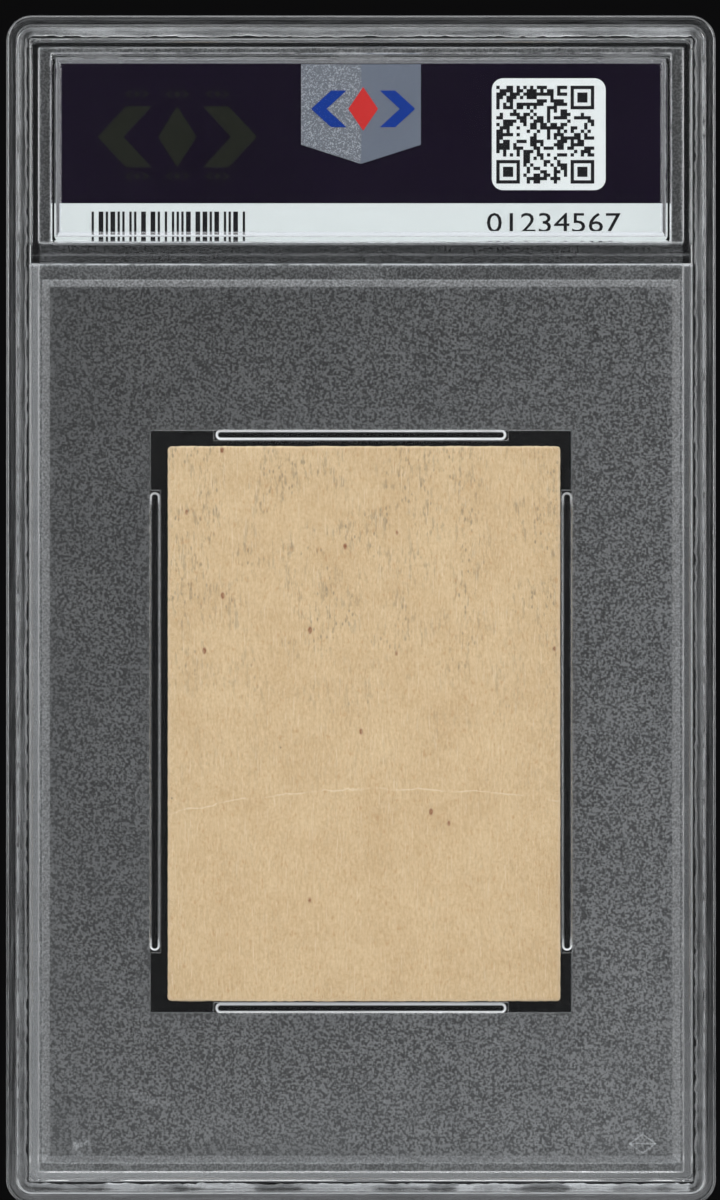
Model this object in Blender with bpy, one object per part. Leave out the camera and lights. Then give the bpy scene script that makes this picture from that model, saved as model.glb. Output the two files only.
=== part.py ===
"""Graded card slab: two clear moulded shells welded around a label and a loose trading card.

Frame: metres, +Z up along the height, +X along the width, +Y from the rear face to the front face.
The origin is the middle of the bottom edge. The slab stands on its bottom edge, label at the top.
"""

import math

import bmesh
import bpy

MM = 0.001

# Overall size
SLAB_WIDTH = 81.0 * MM
SLAB_HEIGHT = 135.8 * MM
SLAB_THICKNESS = 6.4 * MM
CORNER_RADIUS = 2.9 * MM
EDGE_ROUND = 0.64 * MM

# Gaps between pieces
TOUCH_GAP = 0.3 * MM  # left between two pieces that touch
JOINT_GAP = 0.3 * MM  # between the inner faces of the two shells

# Rim of the front shell, measured in from the outer edge
LIP_WIDTH = 1.12 * MM  # wall that stands around the rear shell
WELD_LEDGE_WIDTH = 1.53 * MM  # step inside the lip that carries the weld bead
WELD_BEAD_THICKNESS = 0.4 * MM
WELD_BEAD_INNER_MARGIN = 0.15 * MM  # bead stops short of the ledge's inner edge
LEDGE_DEPTH = 0.55 * MM  # ledge height behind the mid plane
LIP_CHAMFER = 0.15 * MM

# Relief of both faces, depths measured down from the lip
FLANGE_DROP = 0.45 * MM  # welded flange below the lip
RING_DROP = 0.2 * MM  # raised ring and divider below the lip
FIELD_DROP = 0.5 * MM  # floor of the grooves inside the ring
PANEL_DROP = 0.1 * MM  # frosted panel below the lip
FRAME_DROP = 0.25 * MM  # raised frame around the label pane
PANE_DROP = 0.6 * MM  # polished pane in front of the label
RING_WIDTH = 1.1 * MM
RING_CHAMFER = 0.15 * MM
RING_CORNER = 1.0 * MM
DIVIDER_HEIGHT = 2.55 * MM
PANEL_SIDE_GROOVE = 0.35 * MM
PANEL_END_GROOVE = 0.95 * MM
PANEL_TOP_GROOVE = 1.75 * MM
PANEL_BEVEL = 0.75 * MM
SHARP_CORNER = 0.12 * MM

# Label, its chamber and the frame around its pane
LABEL_SIDE_MARGIN = 1.69 * MM  # label edge in from the raised ring
LABEL_HEIGHT = 20.9 * MM
LABEL_THICKNESS = 0.4 * MM
LABEL_CORNER = 0.9 * MM
CHAMBER_AIR = 0.8 * MM  # space on each side of the label
FRAME_OVERHANG = 0.06 * MM  # frame's outer edge beyond the label's edge
FRAME_WIDTH = 0.7 * MM
PANE_BEVEL = 0.45 * MM

# Foil seal on the label's rear face
FOIL_WIDTH = 13.7 * MM
FOIL_SIDE = 9.2 * MM
FOIL_TIP = 2.2 * MM
FOIL_TOP_INSET = 0.5 * MM
FOIL_THICKNESS = 0.1 * MM

# Card and its well
CARD_WIDTH = 44.9 * MM
CARD_HEIGHT = 63.5 * MM
CARD_THICKNESS = 0.5 * MM
CARD_CORNER = 0.45 * MM
CARD_TRAVEL = 0.5 * MM  # free slide from the bottom rail to the top rail
CARD_SIDE_PLAY = 0.7 * MM  # free play sideways, all on the card's left
CARD_AIR = 0.4 * MM  # space on each side of the card
RAIL_REACH = 1.0 * MM  # how far a rail stands into the window
RAIL_SINK = 0.2 * MM  # how far its back is sunk into the window's edge
RAIL_CHAMFER = 0.25 * MM
RAIL_END_INSET = 7.55 * MM  # top and bottom rails, from the window's corner
RAIL_SIDE_INSET = 7.15 * MM  # side rails, from the window's corner
RAIL_BASE_MARGIN = 0.3 * MM  # low step around each rail
RAIL_BASE_HEIGHT = 0.15 * MM

# Weld pads between the shells
PAD_WIDTH = 5.6 * MM
PAD_HEIGHT = 0.85 * MM
PAD_THICKNESS = 0.3 * MM
PAD_SIDE_INSET = 10.25 * MM  # outer pads' middle in from the slab's side
PAD_GROOVE_OFFSET = 0.1 * MM  # pad from the edge of the ring or the divider
PAD_DIVIDER_OFFSET = 0.7 * MM
PAD_CLEARANCE = 0.3 * MM

# Gate scar in the lip's rear face
GATE_WIDTH = 1.6 * MM
GATE_HEIGHT = 0.85 * MM
GATE_INSET = 0.45 * MM
GATE_DEPTH = 0.3 * MM

CUT_MARGIN = 1.0 * MM  # how far a cutter runs past the face it opens
ROOT_DEPTH = 0.3 * MM  # how far an added feature is sunk into its shell
ROUND_STEPS = 8
EDGE_STEPS = 4

LIP_PLANE = SLAB_THICKNESS / 2
RING_INSET = LIP_WIDTH + WELD_LEDGE_WIDTH
FIELD_INSET = RING_INSET + RING_WIDTH
FIELD_HALF = SLAB_WIDTH / 2 - FIELD_INSET
FIELD_TOP = SLAB_HEIGHT - FIELD_INSET
PAD_TOP_ROW = FIELD_TOP - PAD_GROOVE_OFFSET - PAD_HEIGHT
LABEL_HALF = FIELD_HALF - LABEL_SIDE_MARGIN
LABEL_TOP = PAD_TOP_ROW - TOUCH_GAP
LABEL_BOTTOM = LABEL_TOP - LABEL_HEIGHT
DIVIDER_BOTTOM = LABEL_BOTTOM - DIVIDER_HEIGHT
PANEL_HALF = FIELD_HALF - PANEL_SIDE_GROOVE
PANEL_BOTTOM = FIELD_INSET + PANEL_END_GROOVE
PANEL_TOP = DIVIDER_BOTTOM - PANEL_TOP_GROOVE
MATE_PLANE = JOINT_GAP / 2
CHAMBER_FLOOR = LABEL_THICKNESS / 2 + CHAMBER_AIR
WELL_FLOOR = CARD_THICKNESS / 2 + CARD_AIR
WELL_HALF_WIDTH = (CARD_WIDTH + CARD_SIDE_PLAY) / 2 + TOUCH_GAP
WELL_HALF_HEIGHT = (CARD_HEIGHT + CARD_TRAVEL) / 2 + TOUCH_GAP
WINDOW_HALF_WIDTH = WELL_HALF_WIDTH + RAIL_REACH
WINDOW_HALF_HEIGHT = WELL_HALF_HEIGHT + RAIL_REACH
WINDOW_MIDDLE = (PANEL_BOTTOM + PANEL_TOP) / 2


def outline(half_width, low, high, radius, steps=ROUND_STEPS):
    """Corner-rounded rectangle as (x, z) points, the same count for every size."""
    corners = (
        (half_width - radius, high - radius, 0.0),
        (radius - half_width, high - radius, 90.0),
        (radius - half_width, low + radius, 180.0),
        (half_width - radius, low + radius, 270.0),
    )
    points = []
    for x, z, start in corners:
        for step in range(steps + 1):
            angle = math.radians(start + 90.0 * step / steps)
            points.append((x + radius * math.cos(angle), z + radius * math.sin(angle)))
    return points


def slab_outline(inset, radius=None):
    """The slab's outline moved in by inset. Its corners stay concentric unless a radius is given."""
    corner = max(CORNER_RADIUS - inset, SHARP_CORNER) if radius is None else radius
    return outline(SLAB_WIDTH / 2 - inset, inset, SLAB_HEIGHT - inset, corner)


def solid(name, loops, closed=False):
    """Mesh object through a run of (y, points) loops, capped at both ends or closed on itself."""
    mesh = bmesh.new()
    rows = [[mesh.verts.new((x, y, z)) for x, z in points] for y, points in loops]
    count = len(rows[0])
    pairs = list(zip(rows, rows[1:]))
    if closed:
        pairs.append((rows[-1], rows[0]))
    for near, far in pairs:
        for i in range(count):
            j = (i + 1) % count
            mesh.faces.new((near[i], near[j], far[j], far[i]))
    if not closed:
        mesh.faces.new(rows[0])
        mesh.faces.new(rows[-1])
    bmesh.ops.recalc_face_normals(mesh, faces=mesh.faces)
    return add_object(name, mesh)


def add_object(name, mesh):
    """Puts a bmesh into the scene as a named object."""
    data = bpy.data.meshes.new(name)
    mesh.to_mesh(data)
    mesh.free()
    thing = bpy.data.objects.new(name, data)
    bpy.context.scene.collection.objects.link(thing)
    return thing


def boxes(name, spans):
    """One mesh of separate boxes, each given as (x, y, z) spans of two numbers."""
    mesh = bmesh.new()
    for spans_x, spans_y, spans_z in spans:
        made = bmesh.ops.create_cube(mesh, size=1.0)
        for vert in made["verts"]:
            vert.co.x = spans_x[vert.co.x > 0]
            vert.co.y = spans_y[vert.co.y > 0]
            vert.co.z = spans_z[vert.co.z > 0]
    bmesh.ops.recalc_face_normals(mesh, faces=mesh.faces)
    return add_object(name, mesh)


def tool(thing):
    """Marks an object as a guide that shapes another and is not a piece itself."""
    thing.hide_render = True
    thing.display_type = "WIRE"
    return thing


def shape(target, guide, operation):
    """Adds a live Boolean of the guide to the target."""
    modifier = target.modifiers.new(guide.name, "BOOLEAN")
    modifier.operation = operation
    modifier.solver = "EXACT"
    modifier.object = tool(guide)


def cut(target, guide):
    """Takes the guide away from the target."""
    shape(target, guide, "DIFFERENCE")


def add(target, guide):
    """Joins the guide to the target."""
    shape(target, guide, "UNION")


def plastic(name, colour, roughness, clear=1.0):
    """Principled material of a moulded or printed surface."""
    material = bpy.data.materials.new(name)
    material.use_nodes = True
    shader = material.node_tree.nodes["Principled BSDF"]
    shader.inputs["Base Color"].default_value = (*colour, 1.0)
    shader.inputs["Roughness"].default_value = roughness
    shader.inputs["Metallic"].default_value = 0.0
    shader.inputs["Alpha"].default_value = clear
    return material


def finish(thing, material):
    """Gives a piece its material and smooth shading between its sharp edges."""
    thing.data.materials.append(material)
    thing.data.shade_smooth()
    thing.data.set_sharp_from_angle(angle=math.radians(30.0))


def span_of(side, near, far):
    """Two y values on one side of the mid plane, lowest first."""
    return tuple(sorted((side * near, side * far)))


def cut_fields(shell, side):
    """Sinks the label field and the card field inside the raised ring, with the divider left between."""
    floor = LIP_PLANE - FIELD_DROP
    rise = LIP_PLANE - RING_DROP
    fields = {
        "label_field": (LABEL_BOTTOM, FIELD_TOP),
        "card_field": (FIELD_INSET, DIVIDER_BOTTOM),
    }
    for name, (low, high) in fields.items():
        loops = []
        for depth, grow in ((floor, -RING_CHAMFER), (rise, 0.0), (rise + CUT_MARGIN, CUT_MARGIN)):
            edge = outline(FIELD_HALF + grow, low - grow, high + grow, SHARP_CORNER, 1)
            loops.append((side * depth, edge))
        cut(shell, solid(f"{name}_{shell.name}", loops))


def add_panel(shell, side):
    """Raises the frosted panel with its bevelled edge in the card field."""
    levels = (
        (LIP_PLANE - FIELD_DROP - ROOT_DEPTH, 0.0),
        (LIP_PLANE - FIELD_DROP, 0.0),
        (LIP_PLANE - PANEL_DROP, PANEL_BEVEL),
    )
    loops = []
    for depth, inset in levels:
        edge = outline(PANEL_HALF - inset, PANEL_BOTTOM + inset, PANEL_TOP - inset, SHARP_CORNER, 1)
        loops.append((side * depth, edge))
    add(shell, solid(f"panel_{shell.name}", loops))


def add_label_frame(shell, side):
    """Raises the frame around the label's pane, then sinks the pane with a bevelled edge."""
    half = LABEL_HALF + FRAME_OVERHANG
    low = LABEL_BOTTOM
    high = LABEL_TOP + FRAME_OVERHANG
    levels = (
        (LIP_PLANE - FIELD_DROP - ROOT_DEPTH, 0.0),
        (LIP_PLANE - FIELD_DROP, 0.0),
        (LIP_PLANE - FRAME_DROP, RING_CHAMFER),
    )
    loops = []
    for depth, inset in levels:
        edge = outline(half - inset, low + inset, high - inset, SHARP_CORNER, 1)
        loops.append((side * depth, edge))
    add(shell, solid(f"label_frame_{shell.name}", loops))
    steps = (
        (LIP_PLANE - PANE_DROP, FRAME_WIDTH + PANE_BEVEL),
        (LIP_PLANE - FRAME_DROP, FRAME_WIDTH),
        (LIP_PLANE + CUT_MARGIN, FRAME_WIDTH),
    )
    loops = []
    for depth, inset in steps:
        edge = outline(half - inset, low + inset, high - inset, SHARP_CORNER, 1)
        loops.append((side * depth, edge))
    cut(shell, solid(f"pane_{shell.name}", loops))


def cut_insides(shell, side):
    """Opens the label chamber, the card well and the pockets of the weld pads in the inner face."""
    chamber = outline(
        LABEL_HALF + TOUCH_GAP,
        LABEL_BOTTOM - TOUCH_GAP,
        LABEL_TOP + TOUCH_GAP,
        SHARP_CORNER,
        1,
    )
    room = RAIL_SINK + TOUCH_GAP if side > 0 else 0.0  # the front well clears the rails' backs
    window = outline(
        WINDOW_HALF_WIDTH + room,
        WINDOW_MIDDLE - WINDOW_HALF_HEIGHT - room,
        WINDOW_MIDDLE + WINDOW_HALF_HEIGHT + room,
        SHARP_CORNER,
        1,
    )
    mouth = side * (MATE_PLANE - CUT_MARGIN)
    for name, floor, edge in (("chamber", CHAMBER_FLOOR, chamber), ("well", WELL_FLOOR, window)):
        cut(shell, solid(f"{name}_{shell.name}", [(mouth, edge), (side * floor, edge)]))
    depth = PAD_THICKNESS / 2 + TOUCH_GAP
    spans = []
    for _, x, low in pad_places():
        across = (x - PAD_WIDTH / 2 - PAD_CLEARANCE, x + PAD_WIDTH / 2 + PAD_CLEARANCE)
        upright = (low - PAD_CLEARANCE, low + PAD_HEIGHT + PAD_CLEARANCE)
        spans.append((across, span_of(side, MATE_PLANE - CUT_MARGIN, depth), upright))
    cut(shell, boxes(f"pad_pockets_{shell.name}", spans))


def rail(name, middle, across, length, upright):
    """A round-ended rib with a chamfered top. across is its (back, front) span over its width."""
    radius = abs(across[1] - across[0]) / 2
    centre = (across[0] + across[1]) / 2
    floor = WELL_FLOOR + ROOT_DEPTH
    top = TOUCH_GAP - WELL_FLOOR
    loops = []
    for depth, shrink in ((floor, 0.0), (top + RAIL_CHAMFER, 0.0), (top, RAIL_CHAMFER)):
        half = radius - shrink
        edge = outline(length / 2 - shrink, -half, half, half * 0.98)
        if upright:
            edge = [(centre + v, middle + u) for u, v in edge]
        else:
            edge = [(middle + u, centre + v) for u, v in edge]
        loops.append((-depth, edge))
    return solid(name, loops)


def rail_base(name, middle, across, length, upright):
    """The low step that a rail stands on, a little longer and wider than the rail."""
    along = (middle - length / 2, middle + length / 2)
    across = tuple(sorted(across))
    depth = (-WELL_FLOOR - ROOT_DEPTH, RAIL_BASE_HEIGHT - WELL_FLOOR)
    if upright:
        return boxes(name, [(across, depth, along)])
    return boxes(name, [(along, depth, across)])


def add_rails(shell):
    """Joins the four rails to the rear shell, around the card's well."""
    ends = 2 * (WINDOW_HALF_WIDTH - RAIL_END_INSET)
    sides = 2 * (WINDOW_HALF_HEIGHT - RAIL_SIDE_INSET)
    low = WINDOW_MIDDLE - WINDOW_HALF_HEIGHT
    high = WINDOW_MIDDLE + WINDOW_HALF_HEIGHT
    rails = (
        ("bottom_rail", 0.0, low, 1, ends, False),
        ("top_rail", 0.0, high, -1, ends, False),
        ("left_rail", WINDOW_MIDDLE, -WINDOW_HALF_WIDTH, 1, sides, True),
        ("right_rail", WINDOW_MIDDLE, WINDOW_HALF_WIDTH, -1, sides, True),
    )
    for name, middle, wall, inward, length, upright in rails:
        back = wall - inward * RAIL_SINK
        front = wall + inward * RAIL_REACH
        step = front + inward * RAIL_BASE_MARGIN / 2
        base_length = length + 2 * RAIL_BASE_MARGIN
        add(shell, rail_base(f"{name}_base", middle, (back, step), base_length, upright))
        add(shell, rail(name, middle, (back, front), length, upright))


def pad_places():
    """Name, middle x and lower z of each weld pad: three rows of three."""
    side = SLAB_WIDTH / 2 - PAD_SIDE_INSET
    divider = DIVIDER_BOTTOM - PAD_DIVIDER_OFFSET - PAD_HEIGHT
    bottom = FIELD_INSET + PAD_GROOVE_OFFSET
    places = []
    for row, low in (("top", PAD_TOP_ROW), ("divider", divider), ("bottom", bottom)):
        for column, x in (("left", -side), ("middle", 0.0), ("right", side)):
            places.append((f"weld_pad_{row}_{column}", x, low))
    return places


def front_shell(material):
    """Larger half: front wall, full outer rim and the lip that holds the rear shell."""
    cavity = [
        (MATE_PLANE, slab_outline(RING_INSET)),
        (-LEDGE_DEPTH, slab_outline(RING_INSET)),
        (-LEDGE_DEPTH, slab_outline(LIP_WIDTH)),
        (-LIP_PLANE, slab_outline(LIP_WIDTH)),
    ]
    edge = []
    for step in range(EDGE_STEPS + 1):
        turn = math.radians(90.0 * step / EDGE_STEPS)
        inset = EDGE_ROUND * (1 - math.sin(turn))
        drop = EDGE_ROUND * (1 - math.cos(turn))
        edge.append((drop - LIP_PLANE, slab_outline(inset)))
    front_edge = [(-y, points) for y, points in reversed(edge)]
    face = [
        (LIP_PLANE, slab_outline(LIP_WIDTH)),
        (LIP_PLANE - FLANGE_DROP, slab_outline(LIP_WIDTH + LIP_CHAMFER)),
        (LIP_PLANE - FLANGE_DROP, slab_outline(RING_INSET)),
        (LIP_PLANE - RING_DROP, slab_outline(RING_INSET + RING_CHAMFER, RING_CORNER)),
    ]
    shell = solid("front_shell", cavity + edge + front_edge + face)
    relieve(shell, 1)
    scar_z = (GATE_INSET, GATE_INSET + GATE_HEIGHT)
    scar_y = (-LIP_PLANE - CUT_MARGIN, GATE_DEPTH - LIP_PLANE)
    cut(shell, boxes("gate_scar", [((-GATE_WIDTH / 2, GATE_WIDTH / 2), scar_y, scar_z)]))
    finish(shell, material)


def rear_shell(material):
    """Smaller half: rear wall with a welded flange, and a plug that enters the front shell."""
    edge = LIP_WIDTH + TOUCH_GAP
    plug = RING_INSET + TOUCH_GAP
    flange = LEDGE_DEPTH + WELD_BEAD_THICKNESS + 2 * TOUCH_GAP
    loops = [
        (RING_DROP - LIP_PLANE, slab_outline(RING_INSET + RING_CHAMFER, RING_CORNER)),
        (FLANGE_DROP - LIP_PLANE, slab_outline(RING_INSET)),
        (FLANGE_DROP - LIP_PLANE, slab_outline(edge + LIP_CHAMFER)),
        (FLANGE_DROP + LIP_CHAMFER - LIP_PLANE, slab_outline(edge)),
        (-flange, slab_outline(edge)),
        (-flange, slab_outline(plug)),
        (-MATE_PLANE, slab_outline(plug)),
    ]
    shell = solid("rear_shell", loops)
    relieve(shell, -1)
    add_rails(shell)
    finish(shell, material)


def relieve(shell, side):
    """Gives one shell its outer relief and its inner pockets. side is +1 in front and -1 behind."""
    cut_fields(shell, side)
    add_panel(shell, side)
    add_label_frame(shell, side)
    cut_insides(shell, side)


def weld_bead(material):
    """Thin ring of melted plastic between the rear shell's flange and the front shell's ledge."""
    outer = LIP_WIDTH + TOUCH_GAP
    inner = RING_INSET - WELD_BEAD_INNER_MARGIN
    near = LEDGE_DEPTH + TOUCH_GAP
    far = near + WELD_BEAD_THICKNESS
    loops = [
        (-far, slab_outline(outer)),
        (-near, slab_outline(outer)),
        (-near, slab_outline(inner)),
        (-far, slab_outline(inner)),
    ]
    finish(solid("perimeter_weld_bead", loops, closed=True), material)


def weld_pads(material):
    """Nine small flat pads of melted plastic in the pockets between the shells."""
    half = PAD_THICKNESS / 2
    for name, x, low in pad_places():
        across = (x - PAD_WIDTH / 2, x + PAD_WIDTH / 2)
        pad = boxes(name, [(across, (-half, half), (low, low + PAD_HEIGHT))])
        finish(pad, material)


def label(material):
    """Printed label with rounded bottom corners, standing in its chamber."""
    half = LABEL_THICKNESS / 2
    edge = outline(LABEL_HALF, LABEL_BOTTOM, LABEL_TOP, LABEL_CORNER)
    finish(solid("label", [(-half, edge), (half, edge)]), material)


def foil_seal(material):
    """Pennant of foil on the label's rear face, pointing down."""
    back = -LABEL_THICKNESS / 2 - TOUCH_GAP
    top = LABEL_TOP - FOIL_TOP_INSET
    shoulder = top - FOIL_SIDE
    half = FOIL_WIDTH / 2
    edge = [(half, top), (-half, top), (-half, shoulder), (0.0, shoulder - FOIL_TIP), (half, shoulder)]
    finish(solid("foil_seal", [(back - FOIL_THICKNESS, edge), (back, edge)]), material)


def card(material):
    """Card standing on the bottom rail and against the right rail."""
    half = CARD_THICKNESS / 2
    low = WINDOW_MIDDLE - WELL_HALF_HEIGHT + TOUCH_GAP
    shift = CARD_SIDE_PLAY / 2
    edge = outline(CARD_WIDTH / 2, low, low + CARD_HEIGHT, CARD_CORNER)
    edge = [(x + shift, z) for x, z in edge]
    finish(solid("card", [(-half, edge), (half, edge)]), material)


def main():
    """Builds every piece of the slab."""
    for thing in list(bpy.data.objects):
        bpy.data.objects.remove(thing, do_unlink=True)
    clear = plastic("clear_plastic", (0.80, 0.82, 0.83), 0.05, 0.35)
    weld = plastic("weld_plastic", (0.78, 0.80, 0.82), 0.5, 0.8)
    front_shell(clear)
    rear_shell(clear)
    weld_bead(weld)
    weld_pads(weld)
    label(plastic("label_print", (0.010, 0.006, 0.016), 0.35))
    foil_seal(plastic("seal_foil", (0.23, 0.26, 0.31), 0.3))
    card(plastic("card_board", (0.64, 0.47, 0.27), 0.85))


main()
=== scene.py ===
import math

import bmesh
import bpy
import numpy as np
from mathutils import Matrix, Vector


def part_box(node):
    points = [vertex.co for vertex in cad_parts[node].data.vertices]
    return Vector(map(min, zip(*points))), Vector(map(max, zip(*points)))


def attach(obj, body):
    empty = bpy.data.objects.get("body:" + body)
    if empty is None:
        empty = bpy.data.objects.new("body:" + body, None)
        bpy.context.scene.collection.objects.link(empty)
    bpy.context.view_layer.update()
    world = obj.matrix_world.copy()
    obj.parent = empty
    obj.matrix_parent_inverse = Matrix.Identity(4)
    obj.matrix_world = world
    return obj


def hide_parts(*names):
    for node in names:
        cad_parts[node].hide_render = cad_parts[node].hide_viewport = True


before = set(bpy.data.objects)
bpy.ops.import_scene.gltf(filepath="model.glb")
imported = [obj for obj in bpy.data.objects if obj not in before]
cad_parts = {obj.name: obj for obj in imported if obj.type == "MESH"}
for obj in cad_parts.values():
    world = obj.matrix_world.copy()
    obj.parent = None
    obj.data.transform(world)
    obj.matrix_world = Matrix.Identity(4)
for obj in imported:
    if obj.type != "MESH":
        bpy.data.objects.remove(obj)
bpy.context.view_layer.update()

# Graded card slab, rear face towards the camera. Lengths here are in millimetres, in the frame's axes.
# -Y is the rear face, +Z is up, and meshes are written in metres.
perMetre = 1000.0
holder = "holder"
cardBody = "card"


def boxOf(node):
    # a CAD node's lowest and highest corner in millimetres
    low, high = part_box(node)
    return np.array(low) * perMetre, np.array(high) * perMetre


slabLow, slabHigh = boxOf("front_shell")
labelLow, labelHigh = boxOf("label")
cardLow, cardHigh = boxOf("card")
foilLow, foilHigh = boxOf("foil_seal")
beadLow, beadHigh = boxOf("perimeter_weld_bead")

# Depths are heights above the middle plane, the same on both faces.
shellForm = {
    "corner": 2.9, "edgeRound": 0.40, "lipWidth": 1.12, "ledgeWidth": 1.53, "ledgeDepth": 0.55,
    "edgeGap": 0.3, "halfJoint": 0.15, "flangeInner": 1.55,
    "flange": 2.75, "ring": 3.0, "field": 2.7, "panel": 3.1, "labelFrame": 2.95, "pane": 2.6,
    "ringWidth": 1.1, "ringChamfer": 0.15, "ringCorner": 1.0, "divider": 2.55,
    "panelSide": 0.35, "panelEnd": 0.95, "panelTop": 1.75, "panelBevel": 0.85,
    "frameWidth": 0.62, "frameSide": 0.40, "frameTop": 0.70, "paneBevel": 0.57,
    "windowHalf": 24.1, "windowTall": 33.3, "frontRoom": 0.5, "chamberFloor": 1.0, "wellFloor": 0.65,
    "sharp": 0.14, "soft": 0.09, "root": 0.3,
}
lipPlane = slabHigh[1]
slabHalf = slabHigh[0]
slabTop = slabHigh[2]
ringInset = shellForm["lipWidth"] + shellForm["ledgeWidth"]
fieldInset = ringInset + shellForm["ringWidth"]
fieldHalf = slabHalf - fieldInset
fieldTop = slabTop - fieldInset
dividerTop = labelLow[2]
dividerBottom = dividerTop - shellForm["divider"]
panelHalf = fieldHalf - shellForm["panelSide"]
panelLow = fieldInset + shellForm["panelEnd"]
panelHigh = dividerBottom - shellForm["panelTop"]
frameHalf = labelHigh[0] + shellForm["frameSide"]
frameTop = labelHigh[2] + shellForm["frameTop"]
windowHalf = shellForm["windowHalf"]
windowMiddle = (panelLow + panelHigh) / 2
windowLow = windowMiddle - shellForm["windowTall"]
windowHigh = windowMiddle + shellForm["windowTall"]


def placed(name, data):
    # a new object in the scene
    thing = bpy.data.objects.new(name, data)
    bpy.context.scene.collection.objects.link(thing)
    return thing


def faceOut(mesh, join=0.0):
    # joins points closer than join and turns every face outwards
    shaped = bmesh.new()
    shaped.from_mesh(mesh)
    if join:
        bmesh.ops.remove_doubles(shaped, verts=shaped.verts, dist=join)
    bmesh.ops.recalc_face_normals(shaped, faces=shaped.faces)
    shaped.to_mesh(mesh)
    shaped.free()


def addMesh(name, verts, faces):
    # puts points and faces into a new object, with every face turned outwards
    mesh = bpy.data.meshes.new(name)
    mesh.from_pydata((np.asarray(verts, float).reshape(-1, 3) / perMetre).tolist(), [], faces)
    faceOut(mesh)
    return placed(name, mesh)


def circleTurns(count):
    # count angles evenly round a circle
    return np.linspace(0, 2 * np.pi, count + 1)[:-1]


def cornerTurns(steps):
    # the angles of a rectangle's four quarter circles, one row for each corner
    return np.radians(90 * np.arange(4)[:, None] + np.linspace(0, 90, steps + 1)[None, :])


def roundedRun(points, cut, steps=5):
    # every inner corner C becomes a parabola from A before it to B after it:
    # (1 - t)^2 A + 2 t (1 - t) C + t^2 B, with A and B at most cut away from C
    points = np.array(points, float)
    corner = points[1:-1]
    before = points[:-2] - corner
    after = points[2:] - corner
    toBefore = np.hypot(before[:, 0], before[:, 1])[:, None]
    toAfter = np.hypot(after[:, 0], after[:, 1])[:, None]
    reach = np.minimum(cut, 0.45 * np.minimum(toBefore, toAfter))
    start = (corner + before / toBefore * reach)[:, None, :]
    end = (corner + after / toAfter * reach)[:, None, :]
    t = np.linspace(0, 1, steps + 1)[None, :, None]
    arcs = (1 - t) ** 2 * start + 2 * t * (1 - t) * corner[:, None, :] + t ** 2 * end
    return np.concatenate([points[:1], arcs.reshape(-1, points.shape[1]), points[-1:]])


def withCorners(run, corner):
    # adds each row's corner radius: the outline's own, less how far the row has moved in
    run = np.array(run, float)
    return np.column_stack([run, np.maximum(corner - run[:, 0], shellForm["sharp"])])


def rectPoints(rows, rect, steps):
    # row k is the rectangle moved in by inset k, at depth k, its corners quarter circles:
    # x = centre + r cos t, z = centre + r sin t, with t from 0 to 90 degrees in each corner
    half, low, high, middle = rect
    turn = cornerTurns(steps)[None]
    inset, depth, radius = (column[:, None, None] for column in np.array(rows).T)
    toRight = np.array([1, -1, -1, 1])[None, :, None]
    upwards = np.array([1, 1, -1, -1])[None, :, None]
    halfHigh = (high - low) / 2
    x = middle + toRight * (half - inset - radius) + radius * np.cos(turn)
    z = (high + low) / 2 + upwards * (halfHigh - inset - radius) + radius * np.sin(turn)
    y = depth + 0 * x
    return np.stack([x, y, z], axis=-1).reshape(len(rows), -1, 3)


def gridFaces(rows, count, closed):
    # quads between neighbouring rows of a ring of count points
    row = np.arange(rows if closed else rows - 1)[:, None]
    column = np.arange(count)[None, :]
    nextRow = (row + 1) % rows
    nextColumn = (column + 1) % count
    quads = [row * count + column, row * count + nextColumn,
             nextRow * count + nextColumn, nextRow * count + column]
    return np.stack(np.broadcast_arrays(*quads), axis=-1).reshape(-1, 4).tolist()


def loft(name, rows, rect, steps=4, closed=False):
    # a solid through rectangle rows of (inset, depth, corner radius), capped unless it closes on itself
    points = rectPoints(rows, rect, steps)
    count = points.shape[1]
    faces = gridFaces(len(rows), count, closed)
    if not closed:
        faces.append(list(range(count)))
        faces.append(list(range((len(rows) - 1) * count, len(rows) * count)))
    return addMesh(name, points, faces)


def plate(name, rect, back, front, corner, edge=0.05, steps=6):
    # a flat piece with round corners and softened edges, from depth back to depth front
    run = [(edge, back), (0, back + edge), (0, front - edge), (edge, front)]
    return loft(name, withCorners(run, corner), rect, steps)


def tiles(name, spans, back, front):
    # many small blocks in one mesh, each row of spans holding (left, right, bottom, top)
    left, right, bottom, top = (column[:, None] for column in np.array(spans, float).T)
    x = np.where(np.array([0, 1, 1, 0, 0, 1, 1, 0]) == 1, right, left)
    z = np.where(np.array([0, 0, 1, 1, 0, 0, 1, 1]) == 1, top, bottom)
    y = np.where(np.array([0, 0, 0, 0, 1, 1, 1, 1]) == 1, front, back) + 0 * x
    box = np.array([[0, 1, 2, 3], [7, 6, 5, 4], [0, 4, 5, 1], [1, 5, 6, 2], [2, 6, 7, 3], [3, 7, 4, 0]])
    faces = (8 * np.arange(len(x))[:, None, None] + box[None]).reshape(-1, 4).tolist()
    return addMesh(name, np.stack([x, y, z], axis=-1), faces)


def prism(name, outlines, back, front):
    # flat shapes of the same thickness in one mesh, each outline a run of (x, z) points
    verts, faces, first = [], [], 0
    for outline in outlines:
        flat = np.array(outline, float)
        count = len(flat)
        for depth in (back, front):
            verts.append(np.column_stack([flat[:, 0], np.full(count, depth), flat[:, 1]]))
        faces += (first + np.array(gridFaces(2, count, False))).tolist()
        faces.append(list(range(first, first + count)))
        faces.append(list(range(first + count, first + 2 * count)))
        first += 2 * count
    return addMesh(name, np.concatenate(verts), faces)


def diamond(middleX, middleZ, halfWide, halfHigh):
    # one upright diamond
    return [(middleX + halfWide, middleZ), (middleX, middleZ + halfHigh),
            (middleX - halfWide, middleZ), (middleX, middleZ - halfHigh)]


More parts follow.
